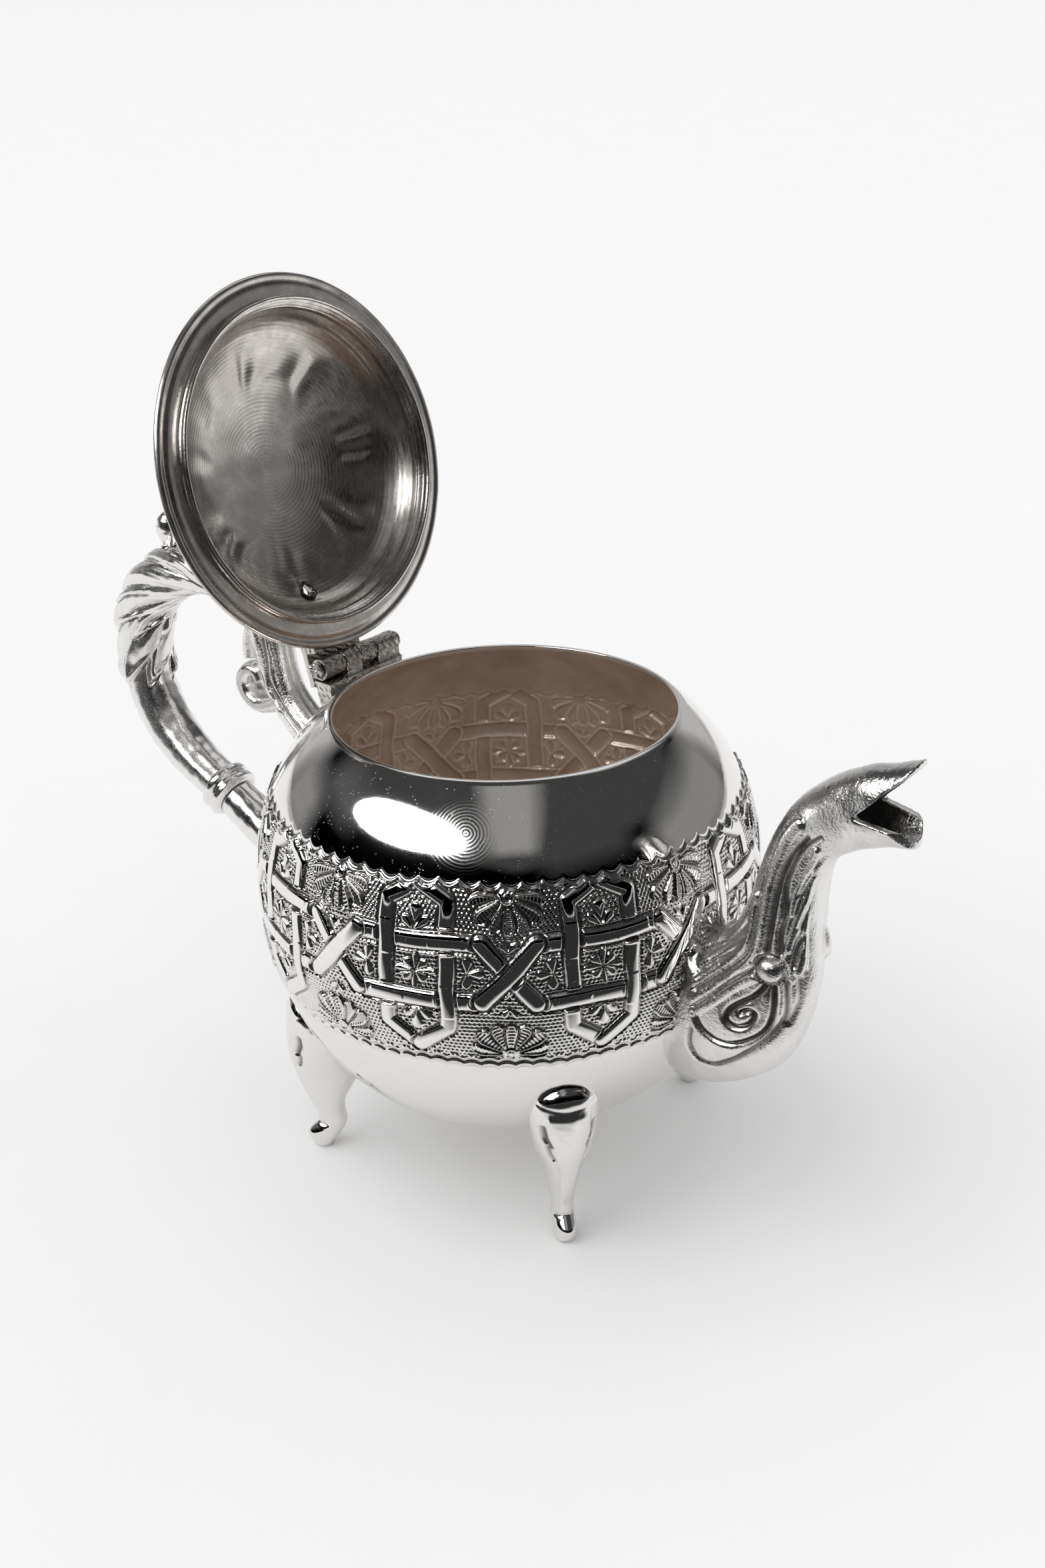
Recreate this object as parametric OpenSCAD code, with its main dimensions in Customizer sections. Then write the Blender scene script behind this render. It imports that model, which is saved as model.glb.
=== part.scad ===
/* [Body] */
// Largest outside diameter of the bowl
bowl_d = 88; // [84:1:92]
// Height of the mouth above the table
mouth_z = 85; // [83:1:88]
// Outside diameter of the mouth
mouth_d = 61; // [58:1:63]
// Height of the widest circle
belly_z = 53; // [51:1:55]
// Thickness of the sheet
wall = 0.9; // [0.7:0.1:1.2]
// Diameter of each strainer hole behind the spout
strainer_hole_d = 2.2; // [1.6:0.2:2.6]

/* [Lid] */
// Outside diameter of the lid flange
lid_d = 66.3; // [65:0.1:67]
// Diameter of the bezel that drops into the mouth
bezel_d = 57.6; // [54:0.2:57.8]
// Rise of the dome above the flange
dome_rise = 11; // [8:1:14]
// Angle that the lid opens to
open_angle = 105.6; // [95:0.2:110]
// Diameter of the steam vent
vent_d = 2; // [1.5:0.1:2.5]

/* [Hinge] */
// Distance of the hinge axis from the pot's axis
hinge_x = 35.9; // [35.7:0.1:36.5]
// Outside diameter of the knuckles
knuckle_d = 4; // [3.6:0.1:4.4]
// Diameter of the pin
pin_d = 1.6; // [1.2:0.1:2]
// Radial clearance round the pin
pin_clearance = 0.05; // [0.02:0.01:0.1]

/* [Handle] */
// Largest distance of the grip's centre line from the pot's axis
grip_reach = 94.8; // [93:0.2:97]
// Diameter of the collar where grip and socket meet
collar_d = 11; // [10.6:0.1:12]

/* [Feet] */
// Directions of the four feet round the pot, from the spout
foot_angles = [-37, -132, 62, 147];

/* [Hidden] */
silver = "#c9c8c6";
polished = "#dcdbd9";
worn = "#8d8885";

base_shift = 10.1;               // centres the whole pot's box over the origin

bowl_r = bowl_d / 2;
mouth_r = mouth_d / 2;
bowl_depth = 42.2;               // from the widest circle to the underside
upper_power = 2.42;              // how square the shoulder is
lower_power = 2.67;              // how square the underside is
shoulder_span = (mouth_z - belly_z) / pow(1 - pow(mouth_r / bowl_r, upper_power), 1 / upper_power);
bowl_steps = 22;                 // points on each half of the outline
lip_h = 1.6;                     // straight stretch inside the mouth
underside_z = belly_z - bowl_depth;

// hinge
hinge_z = mouth_z + 1.3;
pin_len = 19.4;
head_len = 0.8;
head_d = 3;
head_gap = 0.1;
knuckle_gap = 0.1;
lid_knuckles = [[-9, -4.7], [0.3, 4.3]];
base_knuckle = [-3.7, 0.2];
end_block = [4.4, 10];
washer_span = [-4.6, -3.8];
leaf_t = 1.4;
leaf_reach = 7;                  // forward of the axis, over the flange
leaf_tail = 3.2;                 // behind the axis, which stops the lid
leaf_pad = 3;
leaf_gap = 0.06;                 // between the leaf and the pot's knuckle
stop_gap = 0.05;
knuckle_r = knuckle_d / 2;
pin_r = pin_d / 2;
bore_r = pin_r + pin_clearance;
leaf_under = knuckle_r + leaf_gap;

// lid, drawn closed and then opened
seat_gap = 0.1;
flange_t = 0.9;
bead_r = 0.65;
lid_r = lid_d / 2;
bezel_r = bezel_d / 2;
bezel_t = 0.8;
bezel_drop = 1.8;
flange_z = mouth_z + seat_gap;
flange_top = flange_z + flange_t;
dome_r = 26.6;
dome_step = 2.4;
vent_at = [-22.6, -2.6];

module placed() {
    translate([base_shift, 0, 0]) children();
}

function outer_r(z) = z >= belly_z
    ? bowl_r * pow(1 - pow((z - belly_z) / shoulder_span, upper_power), 1 / upper_power)
    : bowl_r * pow(max(0, 1 - pow((belly_z - z) / bowl_depth, 2)), 1 / lower_power);

// Heights along the outline, closer together near the underside
function lower_z(i) = belly_z - bowl_depth * sin(90 * (1 - i / bowl_steps));
function upper_z(i, top) = belly_z + (top - belly_z) * i / bowl_steps;
function outline(top) = concat(
    [for (i = [1:bowl_steps]) [outer_r(lower_z(i)), lower_z(i)]],
    [for (i = [1:bowl_steps]) [outer_r(upper_z(i, top)), upper_z(i, top)]]);

// The outline moved inwards by the wall, along its normal
function slope(p, i) = p[min(i + 1, len(p) - 1)] - p[max(i - 1, 0)];
function inward(p, d) = [for (i = [0:len(p) - 1])
    let (s = slope(p, i)) p[i] + d * [-s[1], s[0]] / norm(s)];

// Curve through control rows [x, z, half thickness, half width]
function knot(rows, i) = rows[max(0, min(len(rows) - 1, i))];
function curve_at(a, b, c, d, t) =
    0.5 * (2 * b + (c - a) * t + (2 * a - 5 * b + 4 * c - d) * t * t + (3 * b - a - 3 * c + d) * t * t * t);
function curve(rows, steps) = concat(
    [for (i = [0:len(rows) - 2], s = [0:steps - 1])
        curve_at(knot(rows, i - 1), rows[i], rows[i + 1], knot(rows, i + 2), s / steps)],
    [rows[len(rows) - 1]]);

// Oval ring across the curve at one of its rows, thinned by t
function heading(rows, i) = let (a = knot(rows, i - 1), b = knot(rows, i + 1)) atan2(b[1] - a[1], b[0] - a[0]);
function oval(rows, i, sides, t) = let (r = rows[i], h = heading(rows, i))
    [for (k = [0:sides - 1]) let (a = 360 * k / sides, u = (r[2] - t) * cos(a))
        [r[0] - u * sin(h), (r[3] - t) * sin(a), r[1] + u * cos(h)]];
function flat(lists) = [for (l = lists, p = l) p];
function bands(count, sides, closed) = [for (i = [0:count - (closed ? 1 : 2)], k = [0:sides - 1])
    let (a = i * sides, b = ((i + 1) % count) * sides, n = (k + 1) % sides)
        [a + k, a + n, b + n, b + k]];

// Solid bar along a curve
module bar(rows, steps, sides) {
    c = curve(rows, steps);
    last = (len(c) - 1) * sides;
    polyhedron(flat([for (i = [0:len(c) - 1]) oval(c, i, sides, 0)]),
        concat(bands(len(c), sides, false),
            [[for (k = [sides - 1:-1:0]) k], [for (k = [0:sides - 1]) last + k]]));
}

// Open pipe along a curve
module pipe(rows, steps, sides, t) {
    c = curve(rows, steps);
    n = len(c);
    polyhedron(flat(concat([for (i = [0:n - 1]) oval(c, i, sides, 0)],
                           [for (i = [n - 1:-1:0]) oval(c, i, sides, t)])),
        bands(2 * n, sides, true));
}

module turned(points) {
    rotate_extrude($fn = 96) polygon(points);
}

// Everything inside the bowl's outer surface
module bowl_solid() {
    turned(concat([[0, underside_z]], outline(mouth_z), [[0, mouth_z]]));
}

strainer_rows = [[36, 2], [40, 3], [44, 4], [48, 3], [52, 2]];    // height and count of holes
strainer_pitch = 3.6;

module body_shell() {
    shape = outline(mouth_z);
    below_lip = [for (p = inward(shape, wall)) if (p[1] < mouth_z - lip_h && p[0] > 0) p];
    lip_r = mouth_r - wall;
    color(polished) placed() difference() {
        turned(concat([[0, underside_z]], shape, [[lip_r, mouth_z], [lip_r, mouth_z - lip_h]],
            [for (i = [len(below_lip) - 1:-1:0]) below_lip[i]], [[0, underside_z + wall]]));
        for (r = strainer_rows, k = [0:r[1] - 1])
            translate([0, (k - (r[1] - 1) / 2) * strainer_pitch, r[0]])
                rotate([0, 90, 0]) cylinder(h = bowl_r + 2, d = strainer_hole_d, $fn = 24);
    }
}

// Spout: wide scrolled root, slim neck, open beak
spout_rows = [[37, 43.5, 15, 7.6], [42, 43.6, 16.4, 8.6], [49.5, 46.4, 13.8, 8.2], [55.4, 54, 9.4, 6.6],
              [57.6, 63, 6.6, 5.8], [59.4, 72, 5.5, 5.2], [62.4, 79.2, 5.4, 4.8], [67.4, 84, 6, 5],
              [73.6, 87.2, 6.5, 5.1], [78.4, 88.6, 6.7, 5], [83.4, 90.2, 7, 4.8]];
spout_wall = 1.3;
beak_corner = [71.8, 86.4];          // where the lips part, [x, z]
beak_upper = [81.5, 96.6];
beak_lower = [81.5, 85];
beak_end = 80.6;

module spout() {
    color(silver) placed() difference() {
        pipe(spout_rows, 3, 24, spout_wall);
        bowl_solid();
        translate([0, 10, 0]) rotate([90, 0, 0]) linear_extrude(20)
            polygon([beak_corner, beak_lower, beak_upper]);
        translate([beak_end, -10, 70]) cube([20, 20, 40]);
    }
}

// Cabriole foot, level rings from the apex down: height, inside, outside, half width
foot_rows = [[30.6, 36.4, 38.9, 1.4], [28.4, 34, 40.4, 4], [24.4, 31, 41.4, 5.4], [20, 29, 41.2, 5],
             [16, 28.4, 40.3, 3.9], [12.8, 30.2, 39.3, 3], [9.6, 31.9, 38, 2.4], [7, 32, 37, 2.05],
             [5, 31.8, 37.2, 2], [3, 32.6, 39.1, 2], [1.2, 34, 38.7, 1.9], [0, 34.9, 37.8, 1.6]];
foot_sides = 16;

module foot(angle) {
    last = (len(foot_rows) - 1) * foot_sides;
    color(silver) placed() difference() {
        rotate([0, 0, angle]) polyhedron(
            [for (r = foot_rows, k = [0:foot_sides - 1]) let (a = 360 * k / foot_sides)
                [(r[1] + r[2]) / 2 + (r[2] - r[1]) / 2 * cos(a), r[3] * sin(a), r[0]]],
            concat(bands(len(foot_rows), foot_sides, false),
                [[for (k = [foot_sides - 1:-1:0]) k], [for (k = [0:foot_sides - 1]) last + k]]));
        bowl_solid();
    }
}
module foot_front() { foot(foot_angles[0]); }
module foot_left() { foot(foot_angles[1]); }
module foot_right() { foot(foot_angles[2]); }
module foot_rear() { foot(foot_angles[3]); }

// Handle: the socket's axis leaves the bowl upwards and ends in the collar
socket_root = [-38.4, 29.8];
socket_end = [-71.4, 48];
socket_angle = atan2(socket_end[1] - socket_root[1], socket_root[0] - socket_end[0]);
socket_len = norm(socket_end - socket_root);
socket_root_d = 10.4;
socket_end_d = 8.2;
collar_len = 5;
collar_seat = 1.5;
spigot_len = 4;
spigot_d = 5;
grip_rows = [[-73.9, 49.4, 4.2, 4.4], [-78.2, 51.3, 4.2, 4.4], [-83.6, 54.2, 4.5, 4.7],
             [-89.2, 58.9, 4.9, 5], [-93.1, 64.7, 5.1, 5.1], [-grip_reach, 71.4, 5.2, 5.3],
             [-grip_reach + 0.3, 78.4, 5.6, 5.7], [-92.8, 85, 5.6, 5.5], [-88.2, 90, 5.4, 5.4],
             [-82, 93.4, 5, 5], [-75, 95.4, 4.5, 4.6], [-68.4, 95, 4.1, 4.3], [-65.6, 94.2, 4, 4.2]];
arch_seam_x = -68.4;             // where the grip's casting meets the scroll's

module along_socket(distance) {
    translate([socket_root[0], 0, socket_root[1]]) rotate([0, socket_angle - 90, 0])
        translate([0, 0, distance]) children();
}

module handle_grip() {
    color(silver) placed() difference() {
        bar(grip_rows, 3, 20);
        translate([arch_seam_x, -10, 80]) cube([20, 20, 30]);
        along_socket(socket_len - 1) cylinder(h = collar_len + spigot_len, d = spigot_d, $fn = 32);
        along_socket(socket_len - 12) cylinder(h = 12 + collar_len - collar_seat, d = collar_d + 2, $fn = 48);
    }
}

scroll_rows = [[-38, 62.6, 3.8, 4.6], [-44, 66, 3.6, 4.4], [-49.6, 69.8, 3.5, 4.1], [-53.8, 74.2, 3.6, 3.9],
               [-56, 79.2, 3.9, 3.8], [-57.3, 84.4, 4.4, 3.9], [-59.4, 89.4, 4.6, 4], [-63.2, 93.4, 4.4, 4.2],
               [-68.4, 95, 4.1, 4.3], [-71.4, 95.4, 4.1, 4.3]];
volute_rows = [[-53.6, 74.6, 2.2, 3], [-57.4, 72, 1.9, 2.9], [-61, 71, 1.8, 2.8], [-63.8, 72.2, 1.8, 2.8],
               [-64.9, 74.8, 1.8, 2.8], [-63.8, 77.2, 1.6, 2.6], [-61.8, 77.6, 1.3, 2.4], [-61, 76, 1, 2]];

module handle_scroll() {
    color(silver) placed() difference() {
        union() {
            bar(scroll_rows, 3, 20);
            bar(volute_rows, 3, 12);
        }
        translate([arch_seam_x - 20, -10, 80]) cube([20, 20, 30]);
        bowl_solid();
    }
}

module handle_collar() {
    r = collar_d / 2;
    color(polished) placed() along_socket(socket_len) turned([[spigot_d / 2, 0], [r - 0.9, 0], [r, 0.9], [r, 1.7],
        [r - 0.6, 2.5], [r, 3.3], [r, collar_len - 0.9], [r - 0.9, collar_len], [socket_end_d / 2 + 0.4, collar_len],
        [socket_end_d / 2 + 0.4, collar_len - collar_seat], [spigot_d / 2, collar_len - collar_seat]]);
}

module handle_socket() {
    color(silver) placed() difference() {
        union() {
            along_socket(0) cylinder(h = socket_len, d1 = socket_root_d, d2 = socket_end_d, $fn = 48);
            along_socket(socket_len - 1) cylinder(h = spigot_len + collar_len - 1, d = spigot_d, $fn = 32);
        }
        bowl_solid();
    }
}

// Turned bulb on top of the grip
knob_at = [-84.2, 97];
knob_tilt = 4;

module thumb_knob() {
    color(polished) placed() difference() {
        translate([knob_at[0], 0, knob_at[1]]) rotate([0, knob_tilt, 0])
            turned([[0, -2.6], [3.1, -2.6], [2.9, -0.6], [1.9, 0.7], [1.6, 1.5], [2.1, 2.6], [2.6, 4],
                    [2.7, 5.2], [2.3, 6.6], [1.4, 7.7], [0, 8.1]]);
        bar(grip_rows, 3, 20);
    }
}

// Hinge: round knuckles along Y on the axis
module on_hinge() {
    translate([-hinge_x, 0, hinge_z]) children();
}

module across(span, d) {
    translate([0, span[0], 0]) rotate([-90, 0, 0]) cylinder(h = span[1] - span[0], d = d, $fn = 48);
}

// Opens what is drawn closed
module opened() {
    on_hinge() rotate([0, -open_angle, 0]) translate([hinge_x, 0, -hinge_z]) children();
}

base_bottom = -7;
base_front = 2.6;
base_back = -3.2;
plate_top = -knuckle_r - 0.2;

module hinge_base() {
    y0 = lid_knuckles[0][0];
    width = end_block[1] - y0;
    color(worn) placed() difference() {
        on_hinge() difference() {
            union() {
                across(base_knuckle, knuckle_d);
                translate([-knuckle_r, base_knuckle[0], base_bottom])
                    cube([knuckle_d, base_knuckle[1] - base_knuckle[0], -base_bottom]);
                translate([-knuckle_r, end_block[0], base_bottom])
                    cube([knuckle_d, end_block[1] - end_block[0], -base_bottom]);
                across(end_block, knuckle_d);
                translate([base_back, y0, base_bottom]) cube([base_front - base_back, width, plate_top - base_bottom]);
            }
            across([y0 - 1, end_block[1] + 1], 2 * bore_r);
            rotate([0, -open_angle, 0]) translate([-leaf_tail - 6, y0 - 1, leaf_under - stop_gap])
                cube([leaf_tail + 6, width + 2, 12]);
        }
        bowl_solid();
    }
}

module hinge_lid_leaf() {
    y0 = lid_knuckles[0][0];
    width = lid_knuckles[1][1] - y0;
    color(worn) placed() opened() difference() {
        on_hinge() difference() {
            union() {
                for (s = lid_knuckles) {
                    across(s, knuckle_d);
                    translate([-0.9, s[0], 0]) cube([1.8, s[1] - s[0], leaf_under + leaf_t / 2]);
                }
                translate([-leaf_tail, y0, leaf_under]) cube([leaf_tail + leaf_reach, width, leaf_t]);
                translate([leaf_pad, y0, flange_top - hinge_z])
                    cube([leaf_reach - leaf_pad, width, leaf_under + leaf_t / 2 - flange_top + hinge_z]);
            }
            across([y0 - 1, end_block[1]], 2 * bore_r);
        }
        lid_outside();
    }
}

module hinge_pin() {
    y0 = lid_knuckles[0][0] - head_gap;
    y1 = end_block[1] + head_gap;
    color(silver) placed() on_hinge() {
        across([y0, y1], pin_d);
        across([y0 - head_len, y0], head_d);
        across([y1, y1 + head_len], head_d);
    }
}

module hinge_washer() {
    color(worn) placed() on_hinge() difference() {
        across(washer_span, knuckle_d - 0.3);
        across([washer_span[0] - 1, washer_span[1] + 1], 2 * bore_r);
    }
}

// Lid
function dome_z(r) = flange_top + dome_step + (dome_rise - dome_step) * pow(max(0, 1 - pow(r / dome_r, 2)), 0.62);
dome_steps = 16;
function dome_line() = [for (i = [0:dome_steps]) let (r = dome_r * cos(90 * i / dome_steps)) [r, dome_z(r)]];

module lid_outside() {
    bead_top = flange_z + 2 * bead_r + 0.05;
    turned(concat([[0, flange_z - 1], [lid_r + 0.05, flange_z - 1], [lid_r + 0.05, bead_top],
        [lid_r - 2 * bead_r - 0.05, bead_top], [lid_r - 2 * bead_r - 0.05, flange_top],
        [dome_r + 1.6, flange_top]], dome_line()));
}

module lid_dome() {
    outside = concat([[lid_r - bead_r, flange_top], [dome_r + 1.6, flange_top]], dome_line());
    inside = [for (i = [len(outside) - 1:-1:1]) let (p = outside[i])
        [max(0, p[0] - (i == len(outside) - 1 ? 0 : 0.45 * wall)), p[1] - wall]];
    color(polished) placed() opened() difference() {
        union() {
            turned(concat(outside, inside, [[lid_r - bead_r, flange_z]]));
            rotate_extrude($fn = 96) translate([lid_r - bead_r, flange_z + bead_r]) circle(r = bead_r, $fn = 24);
        }
        translate([vent_at[0], vent_at[1], flange_z - 2]) cylinder(h = dome_rise + 6, d = vent_d, $fn = 24);
    }
}

module lid_bezel() {
    color(polished) placed() opened() turned([[bezel_r - bezel_t, flange_z], [bezel_r - bezel_t, flange_z - bezel_drop + 0.6],
        [bezel_r - bezel_t + 0.3, flange_z - bezel_drop], [bezel_r, flange_z - bezel_drop], [bezel_r, flange_z]]);
}

finial_z = flange_top + dome_rise;

module finial_collar() {
    color(polished) placed() opened() difference() {
        translate([0, 0, finial_z - 0.8]) turned([[0, 0], [5.6, 0], [5.8, 0.6], [5.2, 1.6], [3.4, 2.2], [0, 2.2]]);
        lid_outside();
    }
}

module lid_finial() {
    color(silver) placed() opened() translate([0, 0, finial_z + 1.4])
        turned([[0, 0], [2.6, 0], [1.9, 1.2], [1.7, 2.4], [2.9, 3.4], [4.2, 5], [4.6, 6.6], [4.1, 8.4], [2.8, 9.8],
                [1.7, 10.8], [1.9, 11.6], [1.5, 12.8], [0, 13.6]]);
}

body_shell();
spout();
foot_front();
foot_left();
foot_right();
foot_rear();
handle_grip();
handle_scroll();
handle_collar();
handle_socket();
thumb_knob();
hinge_base();
hinge_lid_leaf();
hinge_pin();
hinge_washer();
lid_dome();
lid_bezel();
lid_finial();
finial_collar();
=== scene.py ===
import bpy
import numpy as np
from mathutils import Vector, Matrix


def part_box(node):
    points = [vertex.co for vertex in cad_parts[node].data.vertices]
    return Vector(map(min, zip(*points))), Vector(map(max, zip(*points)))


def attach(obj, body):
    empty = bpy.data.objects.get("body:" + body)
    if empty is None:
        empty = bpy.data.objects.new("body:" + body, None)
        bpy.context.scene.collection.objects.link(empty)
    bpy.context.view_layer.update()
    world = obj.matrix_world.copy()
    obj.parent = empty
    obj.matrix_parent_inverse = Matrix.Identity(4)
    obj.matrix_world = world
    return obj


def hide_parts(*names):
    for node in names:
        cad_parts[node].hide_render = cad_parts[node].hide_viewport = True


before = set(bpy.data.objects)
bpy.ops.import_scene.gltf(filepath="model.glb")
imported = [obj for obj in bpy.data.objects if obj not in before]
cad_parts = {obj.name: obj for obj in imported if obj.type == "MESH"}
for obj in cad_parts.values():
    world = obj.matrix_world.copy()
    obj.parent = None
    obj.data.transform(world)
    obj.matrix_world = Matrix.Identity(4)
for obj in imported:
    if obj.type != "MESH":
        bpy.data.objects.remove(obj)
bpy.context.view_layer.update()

rng = np.random.default_rng(7)


lowShell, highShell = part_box("body_shell")
potAxis = (lowShell.x + highShell.x) / 2

# ---- camera
shot = dict(azimuth=40.73, elevation=22.6, distance=0.350, mouthHeight=0.085,
            pan=0.47, tilt=24.77, roll=-1.50, lens=46.74)


def placeCamera(s):
    a, e = np.radians([s["azimuth"], s["elevation"]])
    pan, tilt, roll = np.radians([s["pan"], s["tilt"], s["roll"]])
    right = Vector((np.cos(a), np.sin(a), 0))
    away = Vector((-np.sin(a), np.cos(a), 0))
    up = Vector((0, 0, 1))
    place = Vector((potAxis, 0, s["mouthHeight"])) + s["distance"] * (up * np.sin(e) - away * np.cos(e))
    forward = right * np.sin(pan) * np.cos(tilt) + away * np.cos(pan) * np.cos(tilt) - up * np.sin(tilt)
    side = right * np.cos(pan) - away * np.sin(pan)
    top = side.cross(forward)
    x = side * np.cos(roll) + top * np.sin(roll)
    y = top * np.cos(roll) - side * np.sin(roll)
    data = bpy.data.cameras.new("camera")
    data.sensor_fit = "VERTICAL"
    data.sensor_height = 36
    data.lens = s["lens"]
    data.clip_start = 0.01
    camera = bpy.data.objects.new("camera", data)
    camera.matrix_world = Matrix.Translation(place) @ Matrix((x, y, -forward)).transposed().to_4x4()
    bpy.context.collection.objects.link(camera)
    bpy.context.scene.camera = camera


placeCamera(shot)
print("camera placed")


# ---- node and mesh helpers
def linear(hexCode):
    c = np.array([int(hexCode[i:i + 2], 16) / 255 for i in (1, 3, 5)])
    c = np.where(c <= 0.04045, c / 12.92, ((c + 0.055) / 1.055) ** 2.4)
    return (*[float(v) for v in c], 1.0)


def add(tree, kind, settings=None, **links):
    node = tree.nodes.new(kind)
    for key, value in (settings or {}).items():
        if hasattr(node, key) and key not in node.inputs:
            setattr(node, key, value)
        else:
            node.inputs[key].default_value = value
    for key, source in links.items():
        key = key.replace("_", " ")
        tree.links.new(source, node.inputs[int(key[1:]) if key[0] == "i" and key[1:].isdigit() else key])
    return node


def meshFrom(name, points, faces, materials, faceMaterial=None, smooth=True, deep=None):
    points = np.asarray(points, float) * 0.001
    faces = np.asarray(faces)
    mesh = bpy.data.meshes.new(name)
    mesh.vertices.add(len(points))
    mesh.vertices.foreach_set("co", points.ravel())
    corners = faces.shape[1]
    mesh.loops.add(faces.size)
    mesh.loops.foreach_set("vertex_index", faces.ravel().astype(np.int32))
    mesh.polygons.add(len(faces))
    mesh.polygons.foreach_set("loop_start", np.arange(0, faces.size, corners, dtype=np.int32))
    for m in materials:
        mesh.materials.append(m)
    if faceMaterial is not None:
        mesh.polygons.foreach_set("material_index", np.asarray(faceMaterial, np.int32))
    mesh.update(calc_edges=True)
    if deep is not None:
        mesh.attributes.new("deep", "FLOAT", "POINT").data.foreach_set("value", np.asarray(deep, np.float32).ravel())
    mesh.validate()
    if smooth:
        mesh.shade_smooth()
    obj = bpy.data.objects.new(name, mesh)
    bpy.context.collection.objects.link(obj)
    return obj


def gridFaces(rows, columns, closed=True, loop=False):
    i = np.arange(rows if loop else rows - 1)[:, None]
    j = np.arange(columns if closed else columns - 1)[None, :]
    a = i * columns + j
    b = i * columns + (j + 1) % columns
    c = ((i + 1) % rows) * columns + (j + 1) % columns
    d = ((i + 1) % rows) * columns + j
    return np.stack([a, b, c, d], -1).reshape(-1, 4)


def step(low, high, x):
    t = np.clip((x - low) / (high - low), 0, 1)
    return t * t * (3 - 2 * t)


# ---- bowl
bowl = dict(radius=44.0, bellyZ=53.0, mouthZ=85.0, mouthRadius=30.5, depth=42.2,
            upperPower=2.42, lowerPower=2.67, wall=0.9)
band = dict(repeats=9, firstHexagon=10.0, low=38.6, high=74.4, hexagonHalf=5.2, strapHalf=1.35,
            upperStrap=62.6, lowerStrap=52.3, roof=72.0, roofShoulder=69.0, keel=43.2, keelShoulder=47.3,
            crossHalf=4.4, relief=0.62, beadPitch=0.78, bead=0.2)


def bowlRadius(z):
    b = bowl
    span = (b["mouthZ"] - b["bellyZ"]) / (1 - (b["mouthRadius"] / b["radius"]) ** b["upperPower"]) ** (1 / b["upperPower"])
    up = np.clip((z - b["bellyZ"]) / span, 0, 1)
    down = np.clip((b["bellyZ"] - z) / b["depth"], 0, 1)
    return b["radius"] * np.where(z >= b["bellyZ"], (1 - up ** b["upperPower"]) ** (1 / b["upperPower"]),
                                  np.maximum(1 - down ** 2, 0) ** (1 / b["lowerPower"]))


def strap(x, z, a, b, half, clip=None):
    # height of a rounded strap from a to b, and its distance field
    a, b = np.array(a, float), np.array(b, float)
    d = b - a
    length = np.hypot(*d)
    t = ((x - a[0]) * d[0] + (z - a[1]) * d[1]) / length
    across = np.abs((x - a[0]) * d[1] - (z - a[1]) * d[0]) / length
    beyond = np.maximum(0, np.maximum(-t, t - length))
    if clip:
        return np.where(beyond > 0, 99.0, across)
    return np.hypot(across, beyond)


def laid(height, distance, half, relief):
    # a strap over what is there: an outline groove, then the round
    groove = 1 - step(half + 0.05, half + 0.5, distance)
    height = height * (1 - groove) - 0.10 * groove
    lip = 0.11 * np.exp(-((distance - half - 0.62) / 0.16) ** 2)
    height = height + np.where(distance < half + 1.2, lip, 0)
    crown = relief * np.sqrt(np.clip(1 - (distance / half) ** 2.6, 0, 1))
    return np.where(distance < half, np.maximum(height, crown), height)


def petal(height, x, z, at, angle, length, width, relief, ladder=0.0, rim=0.0):
    c, s = np.cos(np.radians(angle)), np.sin(np.radians(angle))
    u = ((x - at[0]) * c + (z - at[1]) * s) / length
    v = (-(x - at[0]) * s + (z - at[1]) * c)
    inside = (u > 0) & (u < 1)
    k = np.clip(u, 0, 1)
    half = width * np.minimum(1, (k / 0.7) ** 0.7) * np.sqrt(np.clip(1 - (np.maximum(0, k - 0.7) / 0.3) ** 2, 0, 1)) + 1e-6
    q = np.abs(v) / half
    dome = relief * np.sqrt(np.clip(1 - q ** 2, 0, 1))
    if ladder:
        flat = relief * 0.45 + ladder * np.cos(2 * np.pi * u * length / 0.62)
        dome = np.where(q < 0.62, flat, dome)
        dome = dome + rim * np.exp(-((q - 0.8) / 0.16) ** 2)
    groove = inside & (q < 1.4)
    height = np.where(groove, np.minimum(height, -0.12), height)
    return np.where(inside & (q < 1), np.maximum(height, dome), height)


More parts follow.
